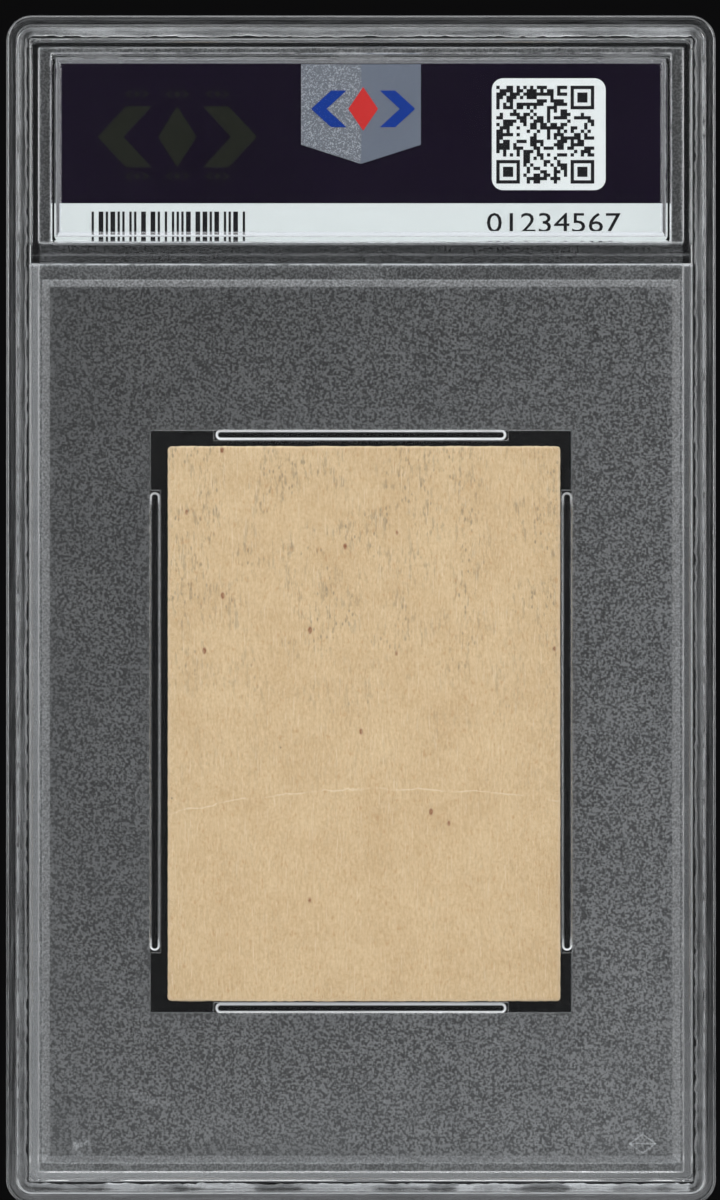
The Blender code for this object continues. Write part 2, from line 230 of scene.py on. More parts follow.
def carve(piece, guide, operation="DIFFERENCE"):
    # lines up one Boolean of the guide; settle applies them
    modifier = piece.modifiers.new(guide.name, "BOOLEAN")
    modifier.operation = operation
    modifier.solver = "EXACT"
    modifier.object = guide


def settle(piece):
    # applies a piece's Booleans in turn and takes their guides out of the scene
    guides = [modifier.object for modifier in piece.modifiers]
    evaluated = piece.evaluated_get(bpy.context.evaluated_depsgraph_get())
    shaped = bpy.data.meshes.new_from_object(evaluated)
    piece.modifiers.clear()
    piece.data = shaped
    for guide in guides:
        bpy.data.objects.remove(guide, do_unlink=True)


def ripple(x, z, size, seed, waves=9):
    # smooth unevenness from -1 to 1: a sum of sines in random directions, about size apart
    draw = np.random.RandomState(seed)
    angle = draw.uniform(0, 2 * np.pi, waves)
    pitch = 2 * np.pi / (size * draw.uniform(0.6, 1.8, waves))
    phase = draw.uniform(0, 2 * np.pi, waves)
    total = 0.0
    for way, rate, start in zip(angle, pitch, phase):
        total = total + np.sin(rate * (x * np.cos(way) + z * np.sin(way)) + start)
    return total / math.sqrt(waves)


def joined(operation, swapped=False):
    # an operator that adds one Math node
    def act(self, other=0.0):
        first, second = (other, self) if swapped else (self, other)
        return self.finish.node("Math", {"operation": operation}, {0: first, 1: second})
    return act


class Wire:
    # one output of a node; arithmetic on it adds Math nodes
    def __init__(self, finish, socket):
        self.finish = finish
        self.socket = socket

    __add__ = joined("ADD")
    __radd__ = joined("ADD", True)
    __sub__ = joined("SUBTRACT")
    __rsub__ = joined("SUBTRACT", True)
    __mul__ = joined("MULTIPLY")
    __rmul__ = joined("MULTIPLY", True)
    __truediv__ = joined("DIVIDE")
    __pow__ = joined("POWER")
    __lt__ = joined("LESS_THAN")
    __abs__ = joined("ABSOLUTE")
    largest = joined("MAXIMUM")
    smallest = joined("MINIMUM")


class Finish:
    # one material and its node tree, with the point in millimetres ready as place, x, y and z
    def __init__(self, name):
        self.material = bpy.data.materials.new(name)
        self.material.use_nodes = True
        self.tree = self.material.node_tree
        self.tree.nodes.clear()
        point = self.node("TexCoord", {}, {}, "Object")
        self.place = self.node("VectorMath", {"operation": "SCALE"}, {0: point, "Scale": perMetre})
        self.x = self.node("SeparateXYZ", {}, {0: self.place}, 0)
        self.y = self.node("SeparateXYZ", {}, {0: self.place}, 1)
        self.z = self.node("SeparateXYZ", {}, {0: self.place}, 2)

    def node(self, kind, settings, inputs, output=0):
        # a node of that kind: settings first, then its sockets' values or links
        made = self.tree.nodes.new("ShaderNode" + kind)
        for key, value in settings.items():
            if key == "stops":
                while len(made.color_ramp.elements) < len(value):
                    made.color_ramp.elements.new(0.5)
                for stop, (at, colour) in zip(made.color_ramp.elements, value):
                    stop.position = at
                    stop.color = (*colour, 1.0)
            else:
                setattr(made, key, value)
        for key, value in inputs.items():
            if isinstance(value, Wire):
                self.tree.links.new(value.socket, made.inputs[key])
            elif isinstance(value, tuple) and made.inputs[key].type == "RGBA":
                made.inputs[key].default_value = (*value, 1.0)
            else:
                made.inputs[key].default_value = value
        return Wire(self, made.outputs[output])

    def rise(self, value, start, end):
        # 0 before start, 1 after end and a smooth step between
        return self.node("MapRange", {"interpolation_type": "SMOOTHSTEP"},
                         {"Value": value, "From Min": start, "From Max": end})

    def grain(self, size, detail=2.0, roughness=0.5, at=None, shift=0.0):
        # noise from about 0 to 1 whose spots are size millimetres apart; shift picks another part of it
        away = (11.3 * shift * size, 7.9 * shift * size, 5.7 * shift * size)
        point = self.node("VectorMath", {"operation": "ADD"}, {0: at or self.place, 1: away})
        return self.node("TexNoise", {}, {
            "Vector": point, "Scale": 1.0 / size, "Detail": detail, "Roughness": roughness})

    def scaled(self, x, y, z):
        # the point times a factor for each axis, which draws a pattern out where the factor is small
        return self.node("VectorMath", {"operation": "MULTIPLY"}, {0: self.place, 1: (x, y, z)})

    def stretched(self, along, across):
        # the point scaled so that a pattern runs long in z and short in x
        return self.scaled(1.0 / across, 1.0, 1.0 / along)

    def streaks(self, along, across, shift, detail=3.0, roughness=0.6):
        # noise drawn out upright, along millimetres long and across millimetres wide
        return self.grain(1.0, detail, roughness, self.stretched(along, across), shift)

    def cells(self, size, at=None):
        # a random level for each cell, size millimetres across
        colour = self.node("TexVoronoi", {}, {"Vector": at or self.place, "Scale": 1.0 / size}, 1)
        return self.node("SeparateXYZ", {}, {0: colour}, 0)

    def spots(self, size, chosen, radius, at=None):
        # a soft dot in a random share of cells size millimetres across
        where = {"Vector": at or self.place, "Scale": 1.0 / size}
        far = self.node("TexVoronoi", {}, where)
        pick = self.node("SeparateXYZ", {}, {0: self.node("TexVoronoi", {}, where, 1)}, 0)
        return (1 - self.rise(far, radius * 0.5, radius)) * (pick < chosen)

    def inRect(self, half, low, high, soft=0.06, middle=0.0):
        # 1 inside an upright rectangle of the face and 0 outside, with a soft edge
        across = 1 - self.rise(abs(self.x - middle), half - soft / 2, half + soft / 2)
        above = self.rise(self.z, low - soft / 2, low + soft / 2)
        below = 1 - self.rise(self.z, high - soft / 2, high + soft / 2)
        return across * above * below

    def edge(self, across, up, halfWide, halfHigh, corner, width):
        # a thin line along a rectangle's outline: how far the point is from it, the corners rounded
        outX = abs(across) - (halfWide - corner)
        outZ = abs(up) - (halfHigh - corner)
        past = (outX.largest(0.0) ** 2 + outZ.largest(0.0) ** 2) ** 0.5
        away = abs(past + outX.largest(outZ).smallest(0.0) - corner)
        return 1 - self.rise(away, width * 0.4, width * 1.6)

    def rim(self, half, low, high, corner=0.0):
        # a thin line along an upright rectangle of the face
        middle = (low + high) / 2
        return self.edge(self.x, self.z - middle, half, (high - low) / 2, corner, shellLook["line"])

    def tint(self, share, first, second):
        # first where share is 0, second where it is 1
        return self.node("Mix", {"data_type": "RGBA"}, {0: share, 6: first, 7: second}, 2)

    def blend(self, share, first, second):
        # two shaders mixed by share
        return self.node("MixShader", {}, {0: share, 1: first, 2: second})

    def skin(self, colour, rough, normal=None, specular=0.5, metallic=0.0):
        # an opaque surface
        inputs = {"Base Color": colour, "Roughness": rough, "Metallic": metallic,
                  "Specular IOR Level": specular}
        if normal:
            inputs["Normal"] = normal
        return self.node("BsdfPrincipled", {}, inputs)

    def glass(self, colour, rough, ior=1.5, specular=0.5):
        # clear plastic that light goes through
        return self.node("BsdfPrincipled", {}, {
            "Base Color": colour, "Roughness": rough, "IOR": ior, "Transmission Weight": 1.0,
            "Specular IOR Level": specular})

    def bump(self, height, strength, distance):
        # a normal tilted by a height pattern
        return self.node("Bump", {}, {"Strength": strength, "Distance": distance / perMetre,
                                      "Height": height})

    def close(self, shader):
        # the shader is the surface; returns the material
        end = self.tree.nodes.new("ShaderNodeOutputMaterial")
        self.tree.links.new(shader.socket, end.inputs["Surface"])
        return self.material


def wear(piece, material):
    # gives a piece its only material
    piece.data.materials.clear()
    piece.data.materials.append(material)


def keep(piece, material, body, slot, *replaced):
    # a finished piece: its material, the body it moves with, its slot (not used) and the CAD nodes it stands
    # for
    wear(piece, material)
    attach(piece, body)
    if replaced:
        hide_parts(*replaced)


railForm = {
    "reach": 1.08, "sink": 0.03, "top": 0.35, "round": 0.24, "root": 0.3, "baseMargin": 0.3,
    "baseHeight": 0.15, "baseRound": 0.05, "baseCorner": 0.2,
    "crossHalf": 16.55, "uprightHalf": 26.15,
}

shellLook = {
    "haze": 0.004, "frost": 0.0112, "frostGrain": 0.1176, "bevel": 0.20, "bevelBase": 0.065, "ring": 0.112,
    "groove": 0.11, "divider": 0.08, "labelGroove": 0.085, "paneEdge": 0.14, "grainSize": 0.27,
    "line": 0.08, "film": 0.34, "clear": (0.97, 0.98, 0.985), "white": (0.84, 0.87, 0.90),
    "lipHighlightLine": 0.62, "lipLine": 1.27, "faceDepth": 2.3, "wellDepth": 1.0, "windowSpill": 0.25,
    "lipSpill": 0.02,
}

markForm = {
    "x": 32.15, "z": 6.9, "half": 1.15, "wide": 1.4, "line": 0.16, "height": 0.06,
    "pinX": -32.0, "pinZ": 6.6, "pinRadius": 1.3, "pinDepth": 0.03, "scuffX": -24.4, "scuffZ": 12.1,
    "scarWide": 0.8, "scarTall": 0.43, "scarZ": 0.87, "scarDepth": 0.3,
    "scratches": ((2.9, 11.4, 0.5, 0.5), (6.7, 10.1, 0.8, 0.7), (-11.0, 14.2, 0.4, 0.4)),
}


def clearPlastic():
    # polished inside faces
    made = Finish("clear_plastic")
    smears = made.grain(12.0, 3.0, 0.6)
    clear = made.glass(shellLook["clear"], 0.012 + 0.02 * smears)
    matte = made.skin(shellLook["white"], 0.55)
    return made.close(made.blend(shellLook["haze"] * (0.5 + smears), clear, matte))


def edgePlastic():
    # the outer lip and side walls, rubbed by handling: fine streaks along each side, a painted highlight line
    # along the rounded edge and a grey tint that is painted shade
    made = Finish("edge_plastic")
    upright = made.rise(abs(made.x), slabHalf - 1.3, slabHalf - 1.2)
    ends = made.grain(1.0, 3.0, 0.6, made.scaled(0.15, 1.0, 5.0), 3.0)
    sides = made.streaks(7.0, 0.2, 2.0)
    rubbed = made.rise(ends * (1 - upright) + sides * upright, 0.3, 0.7)
    # inner paints a highlight line along the rounded outer edge, shown where the rubbed streaks are
    line = shellLook["lipHighlightLine"]
    inner = made.rim(slabHalf - line, line, slabTop - line, shellForm["corner"] - line)
    share = shellLook["haze"] + 0.026 * rubbed + 0.05 * inner * rubbed
    # the grey tint is painted shade: it dims the light that passes through the clear lip
    clear = made.glass((0.66, 0.67, 0.68), 0.06 + 0.14 * rubbed, specular=0.16)
    matte = made.skin(shellLook["white"], 0.55)
    return made.close(made.blend(share, clear, matte))


def facePlastic():
    # the moulded faces: clear, mixed with a matte white where they are frosted, with painted highlight lines
    # along the edges and painted light that makes the frost lighter to the right and towards the bottom.
    # level is how light a spot looks; grained spots reach it with a denser, darker film
    look = shellLook
    made = Finish("face_plastic")
    bevel = shellForm["panelBevel"]
    width = shellForm["frameWidth"]
    paneInset = width + shellForm["paneBevel"]
    slab = made.inRect(slabHalf - ringInset - 0.1, ringInset + 0.1, dividerBottom - 0.05)
    field = made.inRect(fieldHalf, fieldInset, dividerBottom)
    panel = made.inRect(panelHalf, panelLow, panelHigh)
    top = made.inRect(panelHalf - bevel, panelLow + bevel, panelHigh - bevel, 0.10)
    window = made.inRect(windowHalf, windowLow, windowHigh, 0.12)
    divider = made.inRect(fieldHalf, dividerBottom, dividerTop)
    labelField = made.inRect(fieldHalf, dividerTop, fieldTop)
    labelFrame = made.inRect(frameHalf, dividerTop, frameTop)
    paneRim = made.inRect(frameHalf - width, dividerTop + width, frameTop - width)
    pane = made.inRect(frameHalf - paneInset, dividerTop + paneInset, frameTop - paneInset)
    pits = made.rise(made.grain(look["grainSize"], 2.0, 0.65), 0.41, 0.59)
    speckle = made.rise(made.grain(0.26, 2.0, 0.6, shift=4.0), 0.42, 0.60)
    clouds = made.grain(8.0, 2.0)
    broken = made.rise(made.grain(1.6, 3.0, 0.6, shift=7.0), 0.25, 0.60)
    frosted = top * (1 - window)
    sloped = panel * (1 - top)
    ring = slab * (1 - field)
    groove = field * (1 - panel)
    labelGroove = labelField * (1 - labelFrame)
    paneEdge = paneRim * (1 - pane)
    lowBand = 0.18 * (1 - made.rise(made.z, panelLow + 1.6, panelLow + 2.8))
    # painted light: the x and z terms make the frost lighter to the right and towards the bottom; clouds vary
    # it at random and lowBand makes it darker near the panel's lower end
    uneven = 1 + 0.0075 * made.x - 0.0028 * (made.z - windowMiddle) + 0.4 * (clouds - 0.5) - lowBand
    # painted highlights: wide, bar and seam draw a strong white line along the divider's lower edge and a
    # faint one 1.15 mm above it
    wide = 1 - made.rise(abs(made.x), fieldHalf + 0.9, fieldHalf + 1.0)
    bar = 1 - made.rise(abs(made.z - dividerBottom), 0.05, 0.13)
    seam = 1 - made.rise(abs(made.z - (dividerBottom + 1.15)), 0.03, 0.10)
    lip = look["lipLine"]
    # painted highlights: white lines along the lip, the field, the panel and the label's frame and pane,
    # where their edges catch the light; edges sums them and broken varies them at random
    paintedEdgeHighlights = (
        (0.55, slabHalf - lip, lip, slabTop - lip, shellForm["corner"] - lip),
        (0.10, fieldHalf, fieldInset, dividerBottom, 0.0),
        (0.26, fieldHalf, dividerTop, fieldTop, 0.0),
        (0.12, panelHalf, panelLow, panelHigh, 0.0),
        (0.55, frameHalf, dividerTop, frameTop, 0.0),
        (0.35, frameHalf - width, dividerTop + width, frameTop - width, 0.0),
    )
    edges = wide * (1.1 * bar + 0.20 * seam)
    for strength, half, low, high, corner in paintedEdgeHighlights:
        edges = edges + strength * made.rim(half, low, high, corner)
    lowEnd = 1 - made.rise(made.z, panelLow + bevel, panelLow + bevel + 0.3)
    grained = frosted + sloped + groove + labelGroove
    level = (look["haze"] * (1 - 0.8 * pane)
             + frosted * uneven * (look["frost"] + look["frostGrain"] * pits)
             + sloped * (look["bevelBase"] + look["bevel"] * speckle + 0.08 * lowEnd)
             + ring * (look["ring"] * (1 - 0.010 * made.x) + 0.10 * (clouds - 0.5))
             + groove * (0.01 + look["groove"] * speckle)
             + divider * look["divider"] * speckle
             + labelGroove * look["labelGroove"] * speckle
             + paneEdge * look["paneEdge"]
             + edges * broken * 0.8
             + top * mouldMarks(made))
    share = level.largest(look["film"] * grained).smallest(0.9)
    rough = 0.015 + 0.30 * grained + 0.10 * ring
    dull = ((frosted + sloped) * (1 - pits) + (groove + labelGroove) * (1 - speckle)).smallest(1.0)
    through = made.tint(dull * 0.8, look["clear"], (0.24, 0.25, 0.26))
    pale = made.tint(clouds, (0.80, 0.84, 0.88), (0.88, 0.90, 0.92))
    clear = made.glass(made.tint(paneEdge, through, (0.80, 0.79, 0.88)), rough)
    film = made.tint((level / share).smallest(1.0), (0.0, 0.0, 0.0), pale)
    matte = made.skin(film, 0.55, made.bump(pits * (frosted + sloped), 0.3, 0.02))
    return made.close(made.blend(share, clear, matte))


def mouldMarks(made):
    # a white line along the raised diamond's outline and across its middle, the ejector pin's cloudy spot and
    # two short scratches
    form = markForm
    slant = abs(made.x - form["x"]) / form["wide"] + abs(made.z - form["z"])
    outline = 1 - made.rise(abs(slant - form["half"] + form["line"] / 2), 0.04, 0.12)
    across = (1 - made.rise(abs(made.z - form["z"]), 0.03, 0.09)) * (slant < form["half"])
    far = ((made.x - form["pinX"]) ** 2 + (made.z - form["pinZ"]) ** 2) ** 0.5
    cloud = (1 - made.rise(far, 0.3, 1.6)) * made.rise(made.grain(0.9, 3.0, 0.6, shift=9.0), 0.35, 0.65)
    scratch = 0.0
    for x, z, lean, long in form["scratches"]:
        off = 1 - made.rise(abs((made.x - x) + lean * (made.z - z)), 0.02, 0.09)
        scratch = scratch + off * (1 - made.rise(abs(made.z - z), long * 0.6, long))
    rearOnly = made.y < 0.0
    off = abs((made.x - form["scuffX"]) + 2.3 * (made.z - form["scuffZ"]))
    scuff = (1 - made.rise(off, 0.1, 1.5)) * (1 - made.rise(abs(made.z - form["scuffZ"]), 0.5, 1.3))
    return rearOnly * (0.36 * (outline + across) + 0.34 * cloud + 0.24 * scratch + 0.10 * scuff)


def railPlastic():
    # clear ribs with painted white highlights along their rounded edges, brighter at the ends of the upright
    # ones
    made = Finish("rail_plastic")
    rail = railForm
    half = rail["reach"] / 2
    soft = half - 0.02
    crossAway = abs(made.z - windowMiddle) - (windowHigh - windowMiddle - half)
    sideAway = abs(made.x) - (windowHalf - half)
    up = made.z - windowMiddle
    inner = made.rise(made.y, -1.05, -0.9) * (made.y < 0.5)
    crossRail = made.edge(made.x, crossAway, rail["crossHalf"] - 0.08, half - 0.08, soft - 0.08, 0.13)
    sideRail = made.edge(sideAway, up, half - 0.08, rail["uprightHalf"] - 0.08, soft - 0.08, 0.11)
    crossStep = made.edge(made.x, crossAway, rail["crossHalf"] + 0.28, half + 0.12, 0.1, 0.06)
    sideStep = made.edge(sideAway, up, half + 0.12, rail["uprightHalf"] + 0.28, 0.1, 0.06)
    ends = 0.16 + 0.84 * made.rise(abs(up), rail["uprightHalf"] - 2, rail["uprightHalf"])
    glints = made.grain(1.0, 2.0, 0.5, made.scaled(0.12, 1.0, 0.12))
    # painted highlights: white lines along each rib's rounded edges, varied by glints
    rails = (0.80 * crossRail + 0.66 * sideRail * ends) * (0.55 + 0.9 * glints)
    # painted highlight lines along the outline of each rib's step
    rails = rails + 0.10 * (crossStep + sideStep)
    clear = made.glass(shellLook["clear"], 0.015 + 0.05 * glints)
    matte = made.skin((0.90, 0.92, 0.94), 0.5)
    return made.close(made.blend((shellLook["haze"] + inner * rails).smallest(0.9), clear, matte))


def dressShell(shell, finishes):
    # clear plastic throughout, the moulded finish on the outer faces and the ribs' finish in the window
    for finish in finishes:
        shell.data.materials.append(finish)
    flat = np.zeros(len(shell.data.polygons) * 3)
    shell.data.polygons.foreach_get("center", flat)
    x, y, z = flat.reshape(-1, 3).T * perMetre
    spill = shellLook["windowSpill"]
    inWindow = (np.abs(x) < windowHalf + spill) & (z > windowLow - spill) & (z < windowHigh + spill)
    outX = np.abs(x) - (slabHalf - shellForm["corner"])
    outZ = np.abs(z - slabTop / 2) - (slabTop / 2 - shellForm["corner"])
    away = np.hypot(np.maximum(outX, 0), np.maximum(outZ, 0)) + np.minimum(np.maximum(outX, outZ), 0)
    clearSlot, faceSlot, railSlot, edgeSlot = range(4)
    picked = np.where(inWindow & (np.abs(y) < shellLook["wellDepth"]), railSlot, clearSlot)
    picked = np.where(np.abs(y) > shellLook["faceDepth"], faceSlot, picked)
    inEdge = shellForm["corner"] - away < shellForm["lipWidth"] + shellLook["lipSpill"]
    picked = np.where(inEdge, edgeSlot, picked)
    shell.data.polygons.foreach_set("material_index", picked.astype(np.int32))


def fieldCutter(name, side, low, high):
    # sinks one field inside the ring: floor, sloping wall, then clear of the face
    rise = shellForm["ring"]
    run = [(0, 0), (0, shellForm["field"]), (-shellForm["ringChamfer"], rise), (-1.15, rise + 1)]
    rows = withCorners(roundedRun(run, shellForm["soft"]), shellForm["sharp"])
    rows = rows[1:]
    rows[0, 1] = shellForm["field"]
    rows[:, 1] *= side
    return loft(name, rows, (fieldHalf, low, high, 0.0))


def profiled(name, side, rect, run, cut, corner, kept):
    # a loft of a softened profile on either face; kept picks the rows that lie on the block
    rows = withCorners(roundedRun(run, cut), corner)[kept]
    rows[:, 1] *= side
    return loft(name, rows, rect)


def raisedBlock(name, side, rect, top, slope, cut):
    # a block standing on the field's floor with sloping sides and a softened top edge
    floor = shellForm["field"]
    run = [(0, floor - shellForm["root"]), (0, floor), (slope, top), (slope + 1.0, top)]
    return profiled(name, side, rect, run, cut, shellForm["sharp"], slice(None, -1))


def paneCutter(name, side, rect):
    # sinks the label's pane with sloping sides inside its raised frame
    width = shellForm["frameWidth"]
    inner = width + shellForm["paneBevel"]
    top = shellForm["labelFrame"]
    run = [(inner + 1.0, shellForm["pane"]), (inner, shellForm["pane"]), (width, top), (width, top + 1.0)]
    return profiled(name, side, rect, run, shellForm["soft"], shellForm["sharp"], slice(1, None))


def pocket(name, side, rect, floor, corner):
    # a pocket in the inner face with a softened floor edge
    run = [(0, shellForm["halfJoint"] - 1.0), (0, floor), (1.0, floor)]
    return profiled(name, side, rect, run, 0.08, corner, slice(None, -1))


def relieve(shell, side):
    # the same relief on either shell: two fields, the panel, the label's frame and the pockets behind
    tag = shell.name
    carve(shell, fieldCutter(f"labelField_{tag}", side, dividerTop, fieldTop))
    carve(shell, fieldCutter(f"cardField_{tag}", side, fieldInset, dividerBottom))
    panelRect = (panelHalf, panelLow, panelHigh, 0.0)
    panel = raisedBlock(f"panel_{tag}", side, panelRect, shellForm["panel"], shellForm["panelBevel"], 0.1)
    carve(shell, panel, "UNION")
    frameRect = (frameHalf, dividerTop, frameTop, 0.0)
    raised = raisedBlock(f"labelFrame_{tag}", side, frameRect, shellForm["labelFrame"],
                         shellForm["ringChamfer"], 0.06)
    carve(shell, raised, "UNION")
    carve(shell, paneCutter(f"pane_{tag}", side, frameRect))
    gap = shellForm["edgeGap"]
    chamber = (labelHigh[0] + gap, labelLow[2] - gap, labelHigh[2] + gap, 0.0)
    carve(shell, pocket(f"chamber_{tag}", side, chamber, shellForm["chamberFloor"], 0.3))
    room = shellForm["frontRoom"] if side > 0 else 0.0
    well = (windowHalf + room, windowLow - room, windowHigh + room, 0.0)
    carve(shell, pocket(f"well_{tag}", side, well, shellForm["wellFloor"], 0.2))
    for name in padNames:
        low, high = boxOf(name)
        middle = (low[0] + high[0]) / 2
        rect = ((high[0] - low[0]) / 2 + gap, low[2] - gap, high[2] + gap, middle)
        carve(shell, pocket(f"pocket_{name}_{tag}", side, rect, high[1] + gap, 0.2))


def railRect(wall, inward, halfLong, upright, margin=0.0):
    # the rib's rectangle on the face: from its sunk back to its front, and its length
    form = railForm
    back = wall - inward * form["sink"]
    front = wall + inward * (form["reach"] + margin / 2)
    low, high = sorted((back, front))
    if upright:
        return ((high - low) / 2, windowMiddle - halfLong, windowMiddle + halfLong, (low + high) / 2)
    return (halfLong, low, high, 0.0)


def addRails(shell):
    # four ribs around the card's well, each a round-topped bar on a low step
    form = railForm
    floor = shellForm["wellFloor"]
    places = (
        ("bottomRail", windowLow, 1, form["crossHalf"], False),
        ("topRail", windowHigh, -1, form["crossHalf"], False),
        ("leftRail", -windowHalf, 1, form["uprightHalf"], True),
        ("rightRail", windowHalf, -1, form["uprightHalf"], True),
    )
    for name, wall, inward, halfLong, upright in places:
        step = railRect(wall, inward, halfLong + form["baseMargin"], upright, form["baseMargin"])
        run = [(0, -floor - form["root"]), (0, form["baseHeight"] - floor), (1.0, form["baseHeight"] - floor)]
        rows = withCorners(roundedRun(run, form["baseRound"], 3), form["baseCorner"])[:-1]
        carve(shell, loft(f"{name}Step", rows, step, 5), "UNION")
        bar = railRect(wall, inward, halfLong, upright)
        run = [(0, -floor - form["root"]), (0, form["top"]), (form["round"] * 2, form["top"])]
        fullRound = (form["reach"] + form["sink"]) / 2 - 0.01
        rows = withCorners(roundedRun(run, form["round"], 6), fullRound)[:-1]
        carve(shell, loft(name, rows, bar, 10), "UNION")


def finishShell(shell, finishes, node):
    # applies the cuts and the finishes; the clear halves cast no shadow
    settle(shell)
    keep(shell, finishes[0], holder, "clear_plastic", node)
    dressShell(shell, finishes[1:])
    shell.visible_shadow = False
    print(f"{node} made: {len(shell.data.polygons)} faces")


def frontShell(finishes):
    # larger half: one profile carried round the outline, from the joint plane out over the lip,
    # round the outer edge and in to the front ring
    form = shellForm
    lip = form["lipWidth"]
    arc = np.radians(np.linspace(0, 90, 9))
    over = form["edgeRound"] * np.column_stack([1 - np.sin(arc), 1 - np.cos(arc)])
    rearEdge = np.column_stack([over[:, 0], over[:, 1] - lipPlane])
    frontEdge = np.column_stack([over[::-1, 0], lipPlane - over[::-1, 1]])
    inner = [(ringInset + 1, form["halfJoint"]), (ringInset, form["halfJoint"]),
             (ringInset, -form["ledgeDepth"]), (lip, -form["ledgeDepth"]), (lip, -lipPlane),
             (form["edgeRound"], -lipPlane)]
    face = [(form["edgeRound"], lipPlane), (lip, lipPlane), (lip + 0.15, form["flange"]),
            (ringInset, form["flange"]), (ringInset + 0.15, form["ring"]), (ringInset + 1, form["ring"])]
    insideRows = withCorners(roundedRun(inner, form["soft"]), form["corner"])[1:-1]
    faceRows = withCorners(roundedRun(face, form["soft"]), form["corner"])[1:-1]
    faceRows[-6:, 2] = form["ringCorner"]
    rows = np.concatenate([
        insideRows, withCorners(rearEdge, form["corner"]), withCorners(frontEdge, form["corner"]), faceRows])
    shell = loft("front_shell_fine", rows, (slabHalf, 0.0, slabTop, 0.0), 22)
    relieve(shell, 1)
    gate = np.radians(np.arange(0, 360, 60) + 8)
    scar = np.column_stack([markForm["scarWide"] * np.cos(gate),
                            markForm["scarZ"] + markForm["scarTall"] * np.sin(gate)])
    carve(shell, prism("gateScar", [scar], -lipPlane - 1, markForm["scarDepth"] - lipPlane))
    finishShell(shell, finishes, "front_shell")


def rearShell(finishes):
    # smaller half: welded flange, then a plug that enters the front shell
    form = shellForm
    edge = form["lipWidth"] + form["edgeGap"]
    plug = ringInset + form["edgeGap"]
    run = [(ringInset + 1, -form["ring"]), (ringInset + 0.15, -form["ring"]),
           (ringInset, -form["flange"]), (edge + 0.15, -form["flange"]),
           (edge, 0.15 - form["flange"]), (edge, -form["flangeInner"]), (plug, -form["flangeInner"]),
           (plug, -form["halfJoint"]), (plug + 1, -form["halfJoint"])]
    rows = withCorners(roundedRun(run, form["soft"]), form["corner"])[1:-1]
    rows[:6, 2] = form["ringCorner"]
    shell = loft("rear_shell_fine", rows, (slabHalf, 0.0, slabTop, 0.0), 22)
    relieve(shell, -1)
    addRails(shell)
    addMouldMarks(shell)
    finishShell(shell, finishes, "rear_shell")


def addMouldMarks(shell):
    # a small raised diamond outline in one lower corner, and an ejector pin's round mark in the other
    form = markForm
    top = -shellForm["panel"]
    inner = form["half"] - form["line"]
    outline = diamond(form["x"], form["z"], form["half"] * form["wide"], form["half"])
    hollow = diamond(form["x"], form["z"], inner * form["wide"], inner)
    carve(shell, prism("diamondOuter", [outline], top + 0.05, top - form["height"]), "UNION")
    carve(shell, prism("diamondInner", [hollow], top, top - 0.5))
    turn = circleTurns(32)
    ring = np.column_stack([form["pinX"] + form["pinRadius"] * np.cos(turn),
                            form["pinZ"] + form["pinRadius"] * np.sin(turn)])
    carve(shell, prism("pinMark", [ring], top + form["pinDepth"], top - 0.5))


padNames = sorted(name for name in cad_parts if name.startswith("weld_pad_"))
shellFinishes = [clearPlastic(), facePlastic(), railPlastic(), edgePlastic()]
frontShell(shellFinishes)
rearShell(shellFinishes)


weldForm = {
    "steps": 900, "around": 10, "overlap": 0.15, "wander": 0.26, "liftWander": 0.15,
    "padPoints": 96, "padSquare": 0.22, "padWander": 0.05,
}


def weldPlastic(name, top, bottom, sides):
    # melted plastic: matte patches and streaks drawn out along each side, in clear plastic;
    # top, bottom and sides are how light each stretch of the weld is
    made = Finish(name)
    fine = made.grain(0.30, 3.0, 0.7, shift=2.0)
    acrossEnds = made.grain(1.0, 3.0, 0.6, made.scaled(0.22, 1.0, 3.6), 5.0)
    endStreak = made.rise(acrossEnds * 0.7 + fine * 0.3, 0.34, 0.64)
    sideStreak = made.rise(made.streaks(6.0, 0.22, 5.0), 0.40, 0.64)
    patch = made.rise(made.grain(1.0, 3.0, 0.55, made.scaled(0.14, 0.3, 0.55), 1.0), 0.43, 0.57)
    upright = made.rise(abs(made.x), slabHalf - 3.2, slabHalf - 2.8)
    low = 1 - made.rise(made.z, 20.0, 30.0)
    topEnd = top * (0.55 + 0.45 * patch)
    lowEnd = bottom * (0.08 + 0.92 * patch)
    ends = (topEnd * (1 - low) + lowEnd * low) * (0.35 + 0.65 * endStreak)
    worn = made.rise(made.streaks(5.0, 2.0, 11.0), 0.36, 0.60)
    share = ends * (1 - upright) + sides * (0.12 + 0.88 * sideStreak) * (0.3 + 0.7 * worn) * upright
    cover = share.largest(0.3)
    melted = made.tint((share / cover).smallest(1.0), (0.0, 0.0, 0.0), (0.78, 0.80, 0.82))
    matte = made.skin(melted, 0.5, made.bump(fine, 0.5, 0.06))
    clear = made.glass((0.90, 0.91, 0.92), 0.12 + 0.2 * fine, 1.45, 0.3)
    return made.close(made.blend(cover.smallest(0.9), clear, matte))


